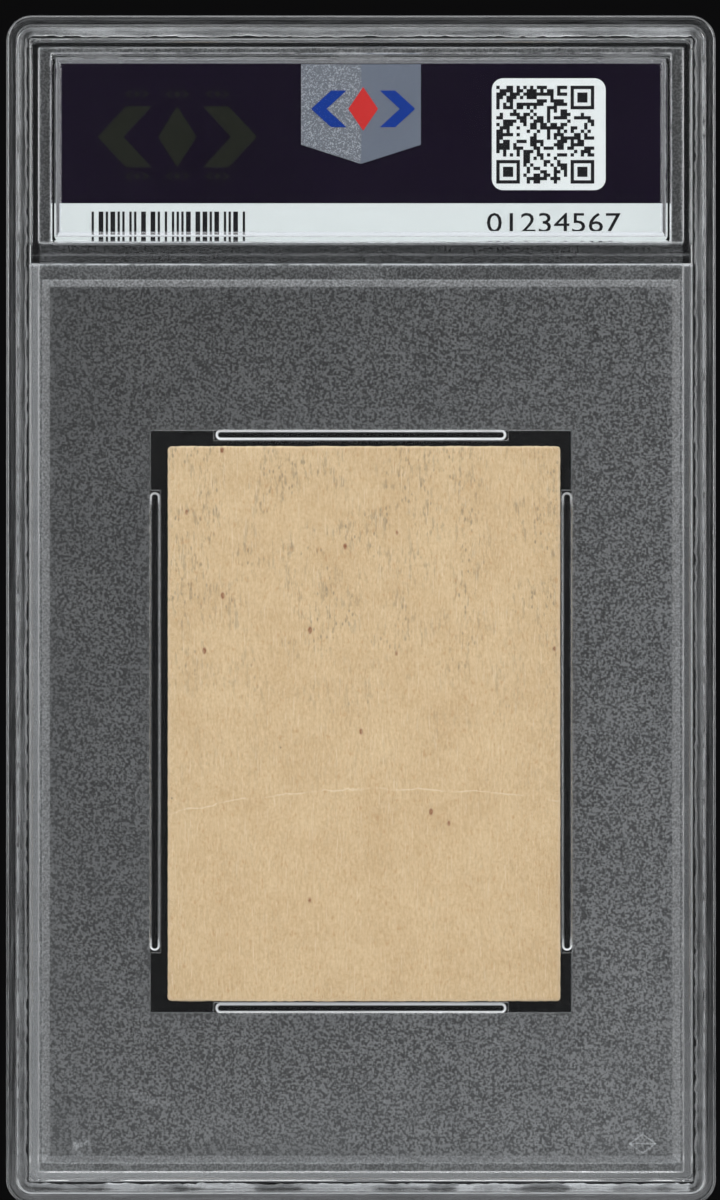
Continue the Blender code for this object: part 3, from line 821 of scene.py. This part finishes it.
def weldBead(material):
    # a flattened tube carried round the outline; its inner edge and its height wander along the way
    form = weldForm
    outerInset = slabHalf - beadHigh[0]
    innerInset = ringInset - form["overlap"]
    rows = [(outerInset, 0.0, shellForm["corner"] - outerInset)] * 2
    path = rectPoints(rows, (slabHalf, 0.0, slabTop, 0.0), 24)[0]
    path = np.concatenate([path, path[:1]])
    along = np.concatenate([[0], np.cumsum(np.hypot(*(path[1:] - path[:-1])[:, [0, 2]].T))])
    walk = np.linspace(0, along[-1], form["steps"] + 1)[:-1]
    x = np.interp(walk, along, path[:, 0])
    z = np.interp(walk, along, path[:, 2])
    corner = shellForm["corner"]
    coreX = np.clip(x, corner - slabHalf, slabHalf - corner)
    coreZ = np.clip(z, corner, slabTop - corner)
    inX, inZ = coreX - x, coreZ - z
    size = np.hypot(inX, inZ)
    inX, inZ = inX / size, inZ / size
    width = innerInset - outerInset
    wander = 0.5 + 0.5 * np.clip(ripple(x, z, 2.2, 5) * 0.6 + ripple(x, z, 0.7, 6) * 0.4, -1, 1)
    reach = width * (1 - form["wander"] * wander)
    uneven = 0.5 + 0.5 * np.clip(ripple(x, z, 1.1, 7), -1, 1)
    lift = (beadHigh[1] - beadLow[1]) / 2 * (1 - form["liftWander"] * uneven)
    turn = circleTurns(form["around"])
    inward = reach[:, None] * (0.5 - 0.5 * np.cos(turn)[None, :])
    y = (beadHigh[1] + beadLow[1]) / 2 + lift[:, None] * np.sin(turn)[None, :]
    points = np.stack([x[:, None] + inX[:, None] * inward, y, z[:, None] + inZ[:, None] * inward], axis=-1)
    piece = addMesh("weld_bead_fine", points, gridFaces(form["steps"], form["around"], True))
    piece.data.shade_smooth()
    keep(piece, material, holder, "weld_plastic", "perimeter_weld_bead")
    piece.visible_shadow = False


def weldPads(material):
    # each pad is a flattened blob whose outline wanders a little inside its pocket
    turn = circleTurns(weldForm["padPoints"])
    for number, name in enumerate(padNames):
        low, high = boxOf(name)
        middle, half = (low + high) / 2, (high - low) / 2
        squareX = np.sign(np.cos(turn)) * np.abs(np.cos(turn)) ** weldForm["padSquare"]
        squareZ = np.sign(np.sin(turn)) * np.abs(np.sin(turn)) ** weldForm["padSquare"]
        wander = np.clip(ripple(squareX * 6, squareZ * 6, 1.6, 20 + number), -1, 1)
        edge = 1 - weldForm["padWander"] * (1 + wander)
        level = np.array([(0.82, -1.0), (0.97, -0.75), (1.0, 0.0), (0.97, 0.75), (0.82, 1.0)])
        shrinkX = 1 - (1 - level[:, :1]) * half[2] / half[0]
        x = middle[0] + half[0] * shrinkX * (squareX * edge)[None, :]
        z = middle[2] + half[2] * level[:, :1] * (squareZ * edge)[None, :]
        y = middle[1] + half[1] * level[:, 1:] + 0 * x
        count = len(turn)
        faces = gridFaces(len(level), count, False)
        faces += [list(range(count)), list(range((len(level) - 1) * count, len(level) * count))]
        piece = addMesh(name + "_fine", np.stack([x, y, z], axis=-1), faces)
        keep(piece, material, holder, "weld_plastic", name)
        piece.visible_shadow = False


weldBead(weldPlastic("weld_bead", 0.28, 0.34, 0.11))
weldPads(weldPlastic("weld_pads", 0.11, 0.11, 0.10))
print("welds made")


labelForm = {
    "bandTop": 114.4, "corner": 0.9, "inkThickness": 0.015, "printGap": 0.002, "patchLift": 0.02,
    "barsLeft": -30.8, "barsRight": -13.2, "barsLow": 110.7, "barsHigh": 113.45,
    "tailLow": 110.2, "tailHigh": 110.58,
    "digitsLeft": 14.4, "digitsRight": 29.7, "digitsLow": 111.06, "digitsHigh": 113.3,
    "patchLeft": 14.96, "patchRight": 27.98, "patchLow": 115.9, "patchHigh": 128.7, "patchCorner": 1.3,
    "cellsLeft": 15.47, "cellsRight": 26.67, "cellsLow": 116.65, "cells": 29,
    "ghostX": -21.0, "ghostZ": 122.0, "ghostWide": 18.2, "ghostHigh": 7.0,
    "smallRows": (126.9, 117.5), "smallPitch": 4.6,
    "frontLines": (
        (-32.0, -8.0, 126.2, 127.6), (-32.0, -14.0, 122.6, 123.6), (-32.0, -11.0, 118.9, 119.9),
        (-32.0, -20.0, 115.2, 116.2), (17.0, 31.5, 126.2, 127.6), (24.0, 31.5, 118.6, 123.6),
        (20.0, 31.5, 112.6, 113.8)),
    "frontRim": (
        (-34.0, 34.0, 129.4, 129.8), (-34.0, 34.0, 110.9, 111.3), (-34.0, -33.6, 111.3, 129.4),
        (33.6, 34.0, 111.3, 129.4)),
}


def labelPaper():
    # coated stock: a dark field over a white band behind, pale in front, paper at the edges
    made = Finish("label_print")
    fibre = made.grain(0.35, 4.0, 0.7)
    clouds = made.grain(14.0, 1.0)
    dark = made.rise(made.z, labelForm["bandTop"] - 0.03, labelForm["bandTop"] + 0.03)
    rear = 1 - made.rise(made.y, -0.19, -0.17)
    ink = made.tint(clouds * 0.8 + fibre * 0.2, (0.0035, 0.0012, 0.0080), (0.0080, 0.0040, 0.0150))
    paper = made.tint(fibre, (0.70, 0.755, 0.755), (0.75, 0.80, 0.80))
    front = made.tint(fibre, (0.62, 0.66, 0.62), (0.68, 0.71, 0.67))
    colour = made.tint(rear, front, made.tint(dark, paper, ink))
    return made.close(made.skin(colour, 0.24 + 0.10 * fibre, made.bump(fibre, 0.15, 0.01), 0.15))


def inkOf(name, colour, uneven=0.12, rough=0.25):
    # printing ink with slight mottling
    made = Finish(name)
    mottle = made.grain(0.3, 3.0, 0.6)
    darker = tuple(level * (1 - uneven) for level in colour)
    lighter = tuple(min(1.0, level * (1 + uneven)) for level in colour)
    return made.close(made.skin(made.tint(mottle, darker, lighter), rough + 0.1 * mottle, specular=0.2))


def printed(piece, material):
    # a print rides with the shells
    keep(piece, material, holder, "label_print")


def chevrons(middleX, middleZ, wide, high):
    # generic mark: two open chevrons pointing out, either side of a diamond
    shapes = []
    arm = 0.42 * high
    for way in (-1, 1):
        tip = middleX + way * wide / 2
        inner = middleX + way * wide * 0.16
        shapes.append([
            (tip, middleZ), (inner + way * arm, middleZ + high / 2), (inner, middleZ + high / 2),
            (tip - way * arm, middleZ), (inner, middleZ - high / 2), (inner + way * arm, middleZ - high / 2)])
    return shapes


def cellSpans():
    # a square field of random cells with three corner squares; it stands for no message
    form = labelForm
    count = form["cells"]
    size = (form["cellsRight"] - form["cellsLeft"]) / count
    dark = np.random.RandomState(41).rand(count, count) < 0.5
    step = np.arange(count)
    for atX, atZ in ((count - 7, count - 7), (0, 0), (count - 7, 0)):
        away = np.maximum(np.abs(step[:, None] - atX - 3), np.abs(step[None, :] - atZ - 3))
        dark = np.where(away <= 4, (away <= 1) | (away == 3), dark)
    across, up = np.nonzero(dark)
    left = form["cellsLeft"] + across * size
    low = form["cellsLow"] + up * size
    return np.column_stack([left, left + size, low, low + size])


def barSpans():
    # upright bars of random widths; they stand for no number
    form = labelForm
    draw = np.random.RandomState(17)
    widths = draw.choice([0.27, 0.27, 0.54], 80)
    edges = form["barsLeft"] + np.concatenate([[0], np.cumsum(widths)])
    edges = edges[edges <= form["barsRight"]]
    edges = edges[: len(edges) // 2 * 2]
    left, right = edges[0::2], edges[1::2]
    rows = [np.column_stack([left, right, np.full(len(left), low), np.full(len(left), high)])
            for low, high in ((form["barsLow"], form["barsHigh"]), (form["tailLow"], form["tailHigh"]))]
    return np.concatenate(rows)


def digitRow(text):
    # Blender's own letters turned to a mesh, stretched to the row's box and given thickness
    form = labelForm
    curve = bpy.data.curves.new("digits", "FONT")
    curve.body = text
    curve.extrude = 0.01
    curve.resolution_u = 3
    source = placed("digitsSource", curve)
    evaluated = source.evaluated_get(bpy.context.evaluated_depsgraph_get())
    mesh = bpy.data.meshes.new_from_object(evaluated)
    bpy.data.objects.remove(source, do_unlink=True)
    flat = np.zeros(len(mesh.vertices) * 3)
    mesh.vertices.foreach_get("co", flat)
    flat = flat.reshape(-1, 3)
    low, high = flat.min(0), flat.max(0)
    share = (flat - low) / (high - low)
    x = form["digitsLeft"] + share[:, 0] * (form["digitsRight"] - form["digitsLeft"])
    z = form["digitsLow"] + share[:, 1] * (form["digitsHigh"] - form["digitsLow"])
    y = labelLow[1] - form["printGap"] - share[:, 2] * form["inkThickness"]
    mesh.vertices.foreach_set("co", (np.column_stack([x, y, z]) / perMetre).ravel())
    faceOut(mesh, 1e-7)
    return placed("label_digits", mesh)


def makeLabel():
    # the board with its rear and front prints, each a thin piece of its own
    form = labelForm
    ink = form["inkThickness"]
    under = labelLow[1] - form["printGap"]
    face = labelLow[1] - ink
    board = plate("label_board", (labelHigh[0], labelLow[2], labelHigh[2], 0.0), labelLow[1], labelHigh[1],
                  form["corner"], 0.03, 10)
    keep(board, labelPaper(), holder, "label_print", "label")
    black = inkOf("black_ink", (0.012, 0.012, 0.014))
    printed(tiles("label_bars", barSpans(), under, face), black)
    printed(digitRow("01234567"), black)
    middle = (form["patchLeft"] + form["patchRight"]) / 2
    half = (form["patchRight"] - form["patchLeft"]) / 2
    raised = labelLow[1] - form["patchLift"]
    patch = plate("label_patch", (half, form["patchLow"], form["patchHigh"], middle),
                  raised, under, form["patchCorner"], 0.004, 10)
    printed(patch, inkOf("white_ink", (0.83, 0.87, 0.87), 0.03))
    printed(tiles("label_cells", cellSpans(), raised - ink, raised - form["printGap"]), black)
    ghost = inkOf("ghost_ink", (0.0130, 0.0145, 0.0100), 0.3)
    shapes = chevrons(form["ghostX"], form["ghostZ"], form["ghostWide"], form["ghostHigh"])
    shapes.append(diamond(form["ghostX"], form["ghostZ"], 2.2, form["ghostHigh"] / 2))
    printed(prism("label_ghost_mark", shapes, under, face), ghost)
    small = []
    for row in form["smallRows"]:
        for column in (-1, 0, 1):
            at = form["ghostX"] + column * form["smallPitch"]
            small += chevrons(at, row, 2.8, 0.8) + [diamond(at, row, 0.35, 0.4)]
    printed(prism("label_small_marks", small, under, face), ghost)
    under = labelHigh[1] + form["printGap"]
    face = labelHigh[1] + ink
    grey = inkOf("grey_ink", (0.10, 0.11, 0.12), 0.1)
    printed(tiles("label_front_lines", form["frontLines"], under, face), grey)
    printed(tiles("label_front_rim", form["frontRim"], under, face), inkOf("teal_ink", (0.02, 0.13, 0.15)))
    print("label made")


sealForm = {"tip": 2.2, "thick": 0.05, "crease": 0.03, "markLift": 0.075, "mark": (0.25, 125.2)}


def sealFoil():
    # foil: sparkling cells on the left half and in the tip, smoother and bluer on the right
    made = Finish("seal_foil")
    grit = made.cells(0.12)
    fine = made.grain(0.2, 3.0, 0.7)
    slope = made.grain(5.0, 1.0)
    left = 1 - made.rise(made.x + 0.3 * (slope - 0.5), -0.1, 0.1)
    sparkle = left * made.rise(grit, 0.55, 0.95)
    colour = made.tint(left, (0.125, 0.148, 0.195), (0.165, 0.182, 0.212))
    colour = made.tint(sparkle * 0.6, colour, (0.58, 0.62, 0.68))
    colour = made.tint((1 - left) * 0.35 * fine, colour, (0.30, 0.34, 0.42))
    crushed = made.bump(grit * left + fine * 0.3, 0.6, 0.03)
    return made.close(made.skin(colour, 0.42 - 0.12 * sparkle, crushed, metallic=0.25))


def makeFoil():
    # the pennant's front rises to a crease down its middle
    half = foilHigh[0]
    shoulder = foilLow[2] + sealForm["tip"]
    edge = np.array([(half, foilHigh[2]), (0, foilHigh[2]), (-half, foilHigh[2]), (-half, shoulder),
                     (0, foilLow[2]), (half, shoulder)])
    back = labelLow[1] - 0.004
    front = labelLow[1] - sealForm["thick"]
    shrink = np.array([(0.0, 0.0), (0.0, 0.7), (0.12, 1.0)])
    centre = np.array([0.0, (foilHigh[2] + foilLow[2]) / 2])
    rows = []
    for inset, up in shrink:
        pulled = edge + (centre - edge) / np.linalg.norm(centre - edge, axis=1)[:, None] * inset
        depth = back + (front - back) * up - (sealForm["crease"] * up) * (np.abs(edge[:, 0]) < 0.1)
        rows.append(np.column_stack([pulled[:, 0], depth, pulled[:, 1]]))
    points = np.array(rows)
    faces = gridFaces(3, 6, False) + [[0, 1, 4, 5], [1, 2, 3, 4], [12, 13, 16, 17], [13, 14, 15, 16]]
    foil = addMesh("foil_seal_fine", points, faces)
    keep(foil, sealFoil(), holder, "seal_foil", "foil_seal")
    lift = labelLow[1] - sealForm["markLift"]
    markX, markZ = sealForm["mark"]
    blue = inkOf("blue_ink", (0.006, 0.038, 0.270), 0.15)
    red = inkOf("red_ink", (0.58, 0.030, 0.028), 0.15)
    printed(prism("seal_chevrons", chevrons(markX, markZ, 11.9, 4.2), lift, lift - 0.03), blue)
    printed(prism("seal_diamond", [diamond(markX, markZ, 1.7, 2.5)], lift, lift - 0.035), red)
    print("foil seal made")


makeLabel()
makeFoil()


cardForm = {
    "columns": 120, "rows": 168, "corner": 0.45, "wear": 0.05, "crease": 0.02, "creaseWide": 0.25,
    "creaseX": 4.0, "creaseZ": 47.5, "creaseBow": 0.0042, "fillet": 0.12, "filletDrop": 0.09,
}
cardMiddle = (cardLow + cardHigh) / 2
cardHalf = (cardHigh - cardLow) / 2


def creaseHeight(x):
    # where the faint crease runs: it rises from the left, crowns past the middle and falls to the right
    bow = cardForm["creaseZ"] - cardForm["creaseBow"] * (x - cardForm["creaseX"]) ** 2
    return bow + 0.35 * np.sin(x * 0.55) * np.exp(-((x + 6) / 14.0) ** 2)


def cardStock():
    # worn board: buff stock with fibres, grey flecks and rust specks behind, a plain printed face in front
    made = Finish("card_board")
    fibre = made.grain(1.0, 4.0, 0.65, made.stretched(0.8, 0.24))
    fine = made.grain(0.30, 3.0, 0.75)
    clouds = made.grain(6.0, 4.0, 0.6)
    level = made.rise(clouds * 0.26 + fibre * 0.40 + fine * 0.34, 0.30, 0.70)
    colour = made.tint(level, (0.560, 0.385, 0.205), (0.765, 0.590, 0.365))
    high = made.rise(made.z, 44.0, 76.0)
    patch = made.grain(5.0, 2.0, 0.5, shift=8.0)
    ragged = made.rise(fine, 0.38, 0.56)
    fleck = made.spots(1.0, 0.34, 0.40, made.stretched(0.80, 0.36)) * (0.15 + 0.85 * ragged)
    fleck = fleck * made.rise(patch, 0.46, 0.60) * (0.15 + 0.85 * high)
    smear = made.rise(made.grain(1.0, 4.0, 0.65, made.stretched(1.5, 0.32), 3.0), 0.52, 0.64)
    smear = smear * made.rise(patch, 0.38, 0.56) * (0.22 + 0.78 * high)
    rusty = made.rise(made.streaks(0.9, 0.28, 9.0), 0.585, 0.66)
    speck = made.spots(1.0, 0.11, 0.15, made.stretched(3.4, 2.0)) * (0.5 + 0.5 * ragged)
    dark = made.spots(3.1, 0.12, 0.045)
    pale = made.rise(made.grain(1.0, 2.0, 0.5, made.stretched(2.4, 0.14), 15.0), 0.60, 0.72)
    wobble = made.grain(3.0, 3.0, 0.6, shift=21.0)
    side = made.x - cardForm["creaseX"]
    bow = cardForm["creaseZ"] - cardForm["creaseBow"] * (side * side) + 1.6 * (wobble - 0.5)
    crease = 1 - made.rise(abs(made.z - bow), 0.03, 0.15)
    crease = crease * made.rise(made.grain(4.0, 2.0, shift=24.0), 0.38, 0.58)
    edgeX = made.rise(abs(made.x - cardMiddle[0]), cardHalf[0] - 0.45, cardHalf[0])
    edgeZ = made.rise(abs(made.z - cardMiddle[2]), cardHalf[2] - 0.45, cardHalf[2])
    stains = (
        ((fleck * 0.85 + smear * 0.42).smallest(0.66), (0.255, 0.205, 0.135)),
        (rusty * 0.34, (0.50, 0.24, 0.085)),
        (speck * 0.9, (0.25, 0.075, 0.030)),
        (dark * 0.7, (0.12, 0.09, 0.06)),
        (pale * 0.35, (0.86, 0.74, 0.55)),
        (crease * 0.45, (0.88, 0.76, 0.56)),
        (edgeX.largest(edgeZ) * 0.4 * (0.4 + fine), (0.82, 0.69, 0.50)),
    )
    for share, stain in stains:
        colour = made.tint(share, colour, stain)
    front = made.rise(made.y, cardHigh[1] - 0.06, cardHigh[1] - 0.04)
    border = made.inRect(cardHalf[0] - 3.2, cardLow[2] + 3.2, cardHigh[2] - 3.2, 0.08, cardMiddle[0])
    slant = abs(made.x - cardMiddle[0]) * 1.35 + abs(made.z - cardMiddle[2])
    inner = 1 - made.rise(slant, 19.0, 19.15)
    field = made.tint(inner, (0.045, 0.150, 0.235), (0.62, 0.42, 0.10))
    field = made.tint(made.rise(fibre, 0.55, 0.75) * 0.25, field, (0.70, 0.66, 0.58))
    picture = made.tint(border, (0.74, 0.68, 0.56), field)
    grainy = made.bump(fine * 0.6 + fibre, 0.6, 0.04)
    return made.close(made.skin(made.tint(front, colour, picture), 0.78 + 0.12 * fine, grainy))


def makeCard():
    # two faces on a grid of u across and v up, joined round the edge. Corners are pulled in to arcs,
    # edges are worn by a small ripple, and the rear face lifts along the crease:
    # lift = crease * exp(-(distance to the line / creaseWide)^2)
    form = cardForm
    u = np.linspace(-1, 1, form["columns"] + 1)
    v = np.linspace(-1, 1, form["rows"] + 1)
    u = np.sign(u) * (1 - (1 - np.abs(u)) ** 1.35)
    v = np.sign(v) * (1 - (1 - np.abs(v)) ** 1.35)
    gridU, gridV = np.meshgrid(u, v)
    x, z = gridU * cardHalf[0], gridV * cardHalf[2]
    corner = form["corner"]
    overX = np.maximum(np.abs(x) - (cardHalf[0] - corner), 0)
    overZ = np.maximum(np.abs(z) - (cardHalf[2] - corner), 0)
    far = np.hypot(overX, overZ)
    pull = np.where(far > corner, corner / np.maximum(far, 1e-9), 1.0)
    x = np.sign(x) * (np.abs(x) - overX * (1 - pull))
    z = np.sign(z) * (np.abs(z) - overZ * (1 - pull))
    rim = np.maximum(np.abs(gridU), np.abs(gridV)) ** 60
    worn = 1 - rim * form["wear"] * (0.5 + 0.5 * np.clip(ripple(x, z, 0.9, 31), -1, 1)) / cardHalf[0]
    x, z = x * worn + cardMiddle[0], z * worn + cardMiddle[2]
    inset = np.minimum(cardHalf[0] - np.abs(x - cardMiddle[0]), cardHalf[2] - np.abs(z - cardMiddle[2]))
    drop = form["filletDrop"] * np.exp(-((np.maximum(inset, 0)) / form["fillet"]) ** 2)
    lift = form["crease"] * np.exp(-((z - creaseHeight(x)) / form["creaseWide"]) ** 2)
    rear = cardLow[1] + form["crease"] + drop - lift + 0.004 * ripple(x, z, 3.0, 33)
    front = cardHigh[1] - form["crease"] - drop
    points = np.stack([np.stack([x, rear, z], -1), np.stack([x, front, z], -1)])
    high, wide = x.shape
    row = np.arange(high - 1)[:, None]
    column = np.arange(wide - 1)[None, :]
    one = np.stack([row * wide + column, row * wide + column + 1, (row + 1) * wide + column + 1,
                    (row + 1) * wide + column], axis=-1).reshape(-1, 4)
    index = np.arange(high * wide).reshape(high, wide)
    loop = np.concatenate([index[0, :-1], index[:-1, -1], index[-1, :0:-1], index[:0:-1, 0]])
    ahead = np.roll(loop, -1)
    wall = np.stack([loop, ahead, ahead + high * wide, loop + high * wide], axis=-1)
    faces = np.concatenate([one, one + high * wide, wall]).tolist()
    piece = addMesh("trading_card", points, faces)
    piece.data.shade_smooth()
    keep(piece, cardStock(), cardBody, "card_board", "card")
    print("card made")


makeCard()


studio = {
    "floorHalf": 1.30, "floorCorner": 0.06, "floorThick": 0.01, "floorDrop": 0.02,
    "world": (0.0036, 0.0036, 0.0038),
    "keyAcross": 0.95, "keyBack": 1.0, "keyHigh": 0.45, "keySize": 0.8, "keyPower": 6.3,
    "rearPower": 0.9, "topPlace": (0.0, -0.35, 1.25), "topSize": (1.2, 0.5), "topPower": 6.0,
}


def paleFloor():
    # a slab of pale floor with round corners, just under the object
    form = studio
    half = form["floorHalf"] * perMetre
    turn = cornerTurns(12)
    corner = form["floorCorner"] * perMetre
    x = np.array([1, -1, -1, 1])[:, None] * (half - corner) + corner * np.cos(turn)
    y = np.array([1, 1, -1, -1])[:, None] * (half - corner) + corner * np.sin(turn)
    flat = np.stack([x.ravel(), y.ravel()], axis=-1)
    count = len(flat)
    top = np.column_stack([flat, np.full(count, -form["floorDrop"])])
    low = np.column_stack([flat, np.full(count, -form["floorThick"] * perMetre)])
    faces = gridFaces(2, count, False) + [list(range(count)), list(range(count, 2 * count))]
    floor = addMesh("floor", np.concatenate([low, top]), faces)
    made = Finish("floor_paint")
    mottle = made.grain(60.0, 3.0)
    paint = made.tint(mottle, (0.60, 0.61, 0.62), (0.68, 0.69, 0.70))
    wear(floor, made.close(made.skin(paint, 0.75)))


def softLight(name, place, size, power, aim=(0.0, 0.0, 0.068)):
    # an area light turned towards the object and not itself seen
    lamp = bpy.data.lights.new(name, "AREA")
    lamp.shape = "RECTANGLE"
    lamp.size, lamp.size_y = size
    lamp.energy = power
    thing = placed(name, lamp)
    thing.location = place
    towards = np.array(aim) - np.array(place)
    across = math.hypot(towards[0], towards[1])
    thing.rotation_euler = (math.atan2(across, -towards[2]), 0.0, math.atan2(-towards[0], towards[1]))
    thing.visible_camera = False


def lightStudio():
    # a soft key and a weak rear light on each side, one light above, and a dark world
    form = studio
    side = (form["keySize"], form["keySize"])
    for name, way in (("left", -1), ("right", 1)):
        across = way * form["keyAcross"]
        softLight(f"key_{name}", (across, -form["keyBack"], form["keyHigh"]), side, form["keyPower"])
        softLight(f"rim_{name}", (across, form["keyBack"], form["keyHigh"]), side, form["rearPower"])
    softLight("top", form["topPlace"], form["topSize"], form["topPower"])
    world = bpy.data.worlds.new("studio_dark")
    world.use_nodes = True
    world.node_tree.nodes["Background"].inputs["Color"].default_value = (*form["world"], 1.0)
    bpy.context.scene.world = world
    bpy.context.scene.view_settings.view_transform = "Standard"


cameraForm = {"lens": 800.0, "sensor": 36.0, "frameHigh": 137.0, "aimX": -0.11, "aimZ": 68.98, "eyeZ": 1.0}


def placeCamera():
    # far off with a long lens; the frame is frameHigh tall at the slab's rear face, seen from floor level
    form = cameraForm
    distance = form["lens"] * form["frameHigh"] / form["sensor"]
    lens = bpy.data.cameras.new("camera")
    lens.lens = form["lens"]
    lens.sensor_width = form["sensor"]
    lens.clip_start = 0.1
    lens.clip_end = 20.0
    camera = placed("camera", lens)
    camera.location = (form["aimX"] / perMetre, (slabLow[1] - distance) / perMetre, form["eyeZ"] / perMetre)
    tilt = math.atan2(form["aimZ"] - form["eyeZ"], distance)
    camera.rotation_euler = (math.pi / 2 + tilt, 0.0, 0.0)
    bpy.context.scene.camera = camera


paleFloor()
lightStudio()
placeCamera()
print("studio ready")
